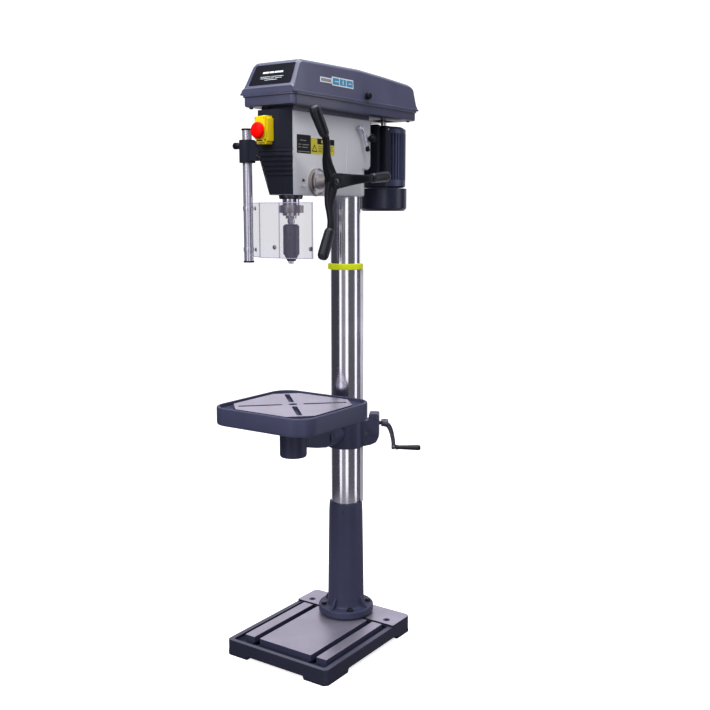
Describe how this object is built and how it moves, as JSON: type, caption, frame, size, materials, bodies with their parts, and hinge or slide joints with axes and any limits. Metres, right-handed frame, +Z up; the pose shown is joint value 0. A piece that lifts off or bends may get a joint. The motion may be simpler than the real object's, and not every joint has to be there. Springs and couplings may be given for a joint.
{
  "type": "floor-standing drill press",
  "caption": "Floor-standing drill press: ribbed base, tube column, rack-lifted tilting square table, belt head with feed arms, chuck, guard and rear motor.",
  "frame": {"origin": "on the column's axis, at the base's flat underside", "axes": "+Z up the column, -Y to the operator in front, +X to the feed-lever side"},
  "size_m": [0.3818, 0.7135, 1.707],
  "materials": {
    "paint": "satin slate-grey paint",
    "casting": "satin light-grey paint",
    "black": "fine moulded grain",
    "rubber": "smooth",
    "belt": "matt",
    "navy": "satin",
    "steel": "ground",
    "machined": "machined face, painted sides",
    "chrome": "polished",
    "dark_steel": "blackened",
    "lime": "satin",
    "yellow": "satin",
    "red": "gloss",
    "green": "gloss",
    "clear": "clear polycarbonate",
    "alloy": "turned"
  },
  "bodies": {
    "stand": {"base_plate": "paint", "column_sleeve": "paint", "flange_bolt_1": "dark_steel", "flange_bolt_2": "dark_steel", "flange_bolt_3": "dark_steel", "flange_bolt_4": "dark_steel", "column_tube": "steel", "rack_collar": "lime", "head_casting": "casting", "front_cover": "black", "guard_bracket": "black", "belt_tray": "paint", "return_spring_cap": "black", "switch_box": "yellow", "idler_arm": "dark_steel", "front_belt": "belt", "rear_belt": "belt"},
    "lid": {"belt_lid": "paint"},
    "lid_catch": {"lid_catch": "black"},
    "quill": {"quill": "steel", "quill_clamp": "black"},
    "spindle": {"spindle": "steel", "chuck_arbor": "steel", "chuck_body": "dark_steel"},
    "chuck_sleeve": {"chuck_sleeve": "chrome"},
    "jaw_1": {"chuck_jaw_1": "steel"},
    "jaw_2": {"chuck_jaw_2": "steel"},
    "jaw_3": {"chuck_jaw_3": "steel"},
    "feed": {"feed_shaft": "alloy", "feed_hub": "black", "grip_1": "rubber", "grip_2": "rubber", "grip_3": "rubber"},
    "depth_dial": {"depth_dial": "black"},
    "spindle_pulley": {"spindle_pulley": "alloy"},
    "idler_pulley": {"idler_pulley": "alloy"},
    "motor": {"motor_body": "navy", "motor_plate": "black", "fan_cowl": "navy", "terminal_box": "black"},
    "rotor": {"motor_shaft": "steel", "motor_pulley": "alloy"},
    "tension_lever": {"tension_lever": "chrome"},
    "slide_lock_knob": {"slide_lock_knob": "black"},
    "switch_flap": {"switch_flap": "yellow"},
    "stop_mushroom": {"stop_mushroom": "red"},
    "start_button": {"start_button": "green"},
    "guard_post": {"guard_post": "chrome"},
    "guard_shield": {"guard_shield": "clear"},
    "guard_knob": {"guard_knob": "black"},
    "rack": {"rack": "steel"},
    "bracket": {"table_bracket": "paint"},
    "lift_gear": {"lift_gear": "dark_steel"},
    "crank": {"crank": "dark_steel"},
    "crank_handle": {"crank_handle": "rubber"},
    "bracket_lock": {"bracket_lock": "dark_steel"},
    "arm": {"table_arm": "paint", "tilt_bolt": "dark_steel"},
    "table_lock": {"table_lock": "dark_steel"},
    "table": {"table": "machined"}
  },
  "joints": [
    {"name": "lid_hinge", "type": "hinge", "parent": "stand", "child": "lid", "pos_m": [-0.092, 0, 1.614], "axis": [0, -1, 0], "range_deg": [0, 100]},
    {"name": "lid_catch_turn", "type": "hinge", "parent": "lid", "child": "lid_catch", "pos_m": [0.09, -0.02, 1.634], "axis": [1, 0, 0], "range_deg": [0, 90]},
    {"name": "quill_feed", "type": "slide", "parent": "stand", "child": "quill", "axis": [0, 0, -1], "range_m": [0, 0.08], "stiffness_N_per_m": 300, "springref_m": -0.32},
    {"name": "feed_turn", "type": "hinge", "parent": "stand", "child": "feed", "pos_m": [0.1, -0.226, 1.387], "axis": [1, 0, 0], "range_deg": [0, 317]},
    {"name": "depth_dial_set", "type": "hinge", "parent": "feed", "child": "depth_dial", "pos_m": [0.066, -0.226, 1.387], "axis": [1, 0, 0], "range_deg": [-170, 170]},
    {"name": "motor_spin", "type": "hinge", "parent": "motor", "child": "rotor", "pos_m": [0, 0.208, 1.5], "axis": [0, 0, 1], "continuous": true},
    {"name": "idler_spin", "type": "hinge", "parent": "stand", "child": "idler_pulley", "pos_m": [0, -0.038, 1.63], "axis": [0, 0, 1], "continuous": true},
    {"name": "spindle_pulley_spin", "type": "hinge", "parent": "stand", "child": "spindle_pulley", "pos_m": [0, -0.262, 1.63], "axis": [0, 0, 1], "continuous": true},
    {"name": "spindle_spin", "type": "hinge", "parent": "quill", "child": "spindle", "pos_m": [0, -0.262, 1.4], "axis": [0, 0, 1], "continuous": true},
    {"name": "chuck_sleeve_turn", "type": "hinge", "parent": "spindle", "child": "chuck_sleeve", "pos_m": [0, -0.262, 1.21], "axis": [0, 0, 1], "range_deg": [0, 540]},
    {"name": "jaw_1_slide", "type": "slide", "parent": "spindle", "child": "jaw_1", "axis": [0, 0.2384, 0.9712], "range_m": [0, 0.01]},
    {"name": "jaw_2_slide", "type": "slide", "parent": "spindle", "child": "jaw_2", "axis": [-0.2064, -0.1192, 0.9712], "range_m": [0, 0.01]},
    {"name": "jaw_3_slide", "type": "slide", "parent": "spindle", "child": "jaw_3", "axis": [0.2064, -0.1192, 0.9712], "range_m": [0, 0.01]},
    {"name": "tension_turn", "type": "hinge", "parent": "stand", "child": "tension_lever", "pos_m": [0.07, -0.024, 1.545], "axis": [-1, 0, 0], "range_deg": [0, 60]},
    {"name": "motor_slide", "type": "slide", "parent": "stand", "child": "motor", "axis": [0, -1, 0], "range_m": [0, 0.012]},
    {"name": "slide_lock_turn", "type": "hinge", "parent": "stand", "child": "slide_lock_knob", "pos_m": [0.07, 0.034, 1.518], "axis": [1, 0, 0], "range_deg": [0, 360]},
    {"name": "switch_flap_hinge", "type": "hinge", "parent": "stand", "child": "switch_flap", "pos_m": [0, -0.388, 1.553], "axis": [-1, 0, 0], "range_deg": [0, 110]},
    {"name": "stop_press", "type": "slide", "parent": "switch_flap", "child": "stop_mushroom", "axis": [0, 1, 0], "range_m": [0, 0.004], "stiffness_N_per_m": 500, "springref_m": -0.002},
    {"name": "start_press", "type": "slide", "parent": "stand", "child": "start_button", "axis": [0, 1, 0], "range_m": [0, 0.003], "stiffness_N_per_m": 300, "springref_m": -0.002},
    {"name": "guard_height", "type": "slide", "parent": "stand", "child": "guard_post", "axis": [0, 0, 1], "range_m": [-0.025, 0.015]},
    {"name": "guard_swing", "type": "hinge", "parent": "guard_post", "child": "guard_shield", "pos_m": [-0.137, -0.283, 1.25], "axis": [0, 0, -1], "range_deg": [0, 110]},
    {"name": "guard_knob_turn", "type": "hinge", "parent": "stand", "child": "guard_knob", "pos_m": [-0.17, -0.283, 1.489], "axis": [-1, 0, 0], "range_deg": [0, 360]},
    {"name": "rack_swing", "type": "hinge", "parent": "stand", "child": "rack", "pos_m": [0, 0, 0.77], "axis": [0, 0, 1], "continuous": true},
    {"name": "table_lift", "type": "slide", "parent": "rack", "child": "bracket", "axis": [0, 0, -1], "range_m": [-0.25, 0.165]},
    {"name": "lift_gear_turn", "type": "hinge", "parent": "bracket", "child": "lift_gear", "pos_m": [0.05629, 0.0325, 0.634], "axis": [-0.5, 0.866, 0], "range_deg": [-1305, 865]},
    {"name": "crank_turn", "type": "hinge", "parent": "bracket", "child": "crank", "pos_m": [0.0796, 0.06212, 0.661], "axis": [0.866, 0.5, 0], "range_deg": [-7840, 5175]},
    {"name": "crank_handle_spin", "type": "hinge", "parent": "crank", "child": "crank_handle", "pos_m": [0.15754, 0.10712, 0.584], "axis": [0.866, 0.5, 0], "continuous": true},
    {"name": "bracket_lock_turn", "type": "hinge", "parent": "bracket", "child": "bracket_lock", "pos_m": [-0.06495, 0.0375, 0.6325], "axis": [0.5, 0.866, 0], "range_deg": [0, 80]},
    {"name": "table_tilt", "type": "hinge", "parent": "bracket", "child": "arm", "pos_m": [0, -0.1, 0.6385], "axis": [0, 1, 0], "range_deg": [-45, 45]},
    {"name": "table_swivel", "type": "hinge", "parent": "arm", "child": "table", "pos_m": [0, -0.262, 0.716], "axis": [0, 0, 1], "continuous": true},
    {"name": "table_lock_turn", "type": "hinge", "parent": "arm", "child": "table_lock", "pos_m": [-0.045, -0.262, 0.7], "axis": [1, 0, 0], "range_deg": [0, 70]}
  ],
  "couplings": [
    {"joint": "feed_turn", "follows": "quill_feed", "rad_per_m": 68.966},
    {"joint": "idler_spin", "follows": "motor_spin", "ratio": 0.68627},
    {"joint": "spindle_pulley_spin", "follows": "motor_spin", "ratio": 0.53654},
    {"joint": "spindle_spin", "follows": "motor_spin", "ratio": 0.53654},
    {"joint": "jaw_1_slide", "follows": "chuck_sleeve_turn", "m_per_rad": 0.001061},
    {"joint": "jaw_2_slide", "follows": "chuck_sleeve_turn", "m_per_rad": 0.001061},
    {"joint": "jaw_3_slide", "follows": "chuck_sleeve_turn", "m_per_rad": 0.001061},
    {"joint": "tension_turn", "follows": "motor_slide", "rad_per_m": 87.266},
    {"joint": "lift_gear_turn", "follows": "table_lift", "rad_per_m": 90.909},
    {"joint": "crank_turn", "follows": "table_lift", "rad_per_m": 546.4}
  ]
}
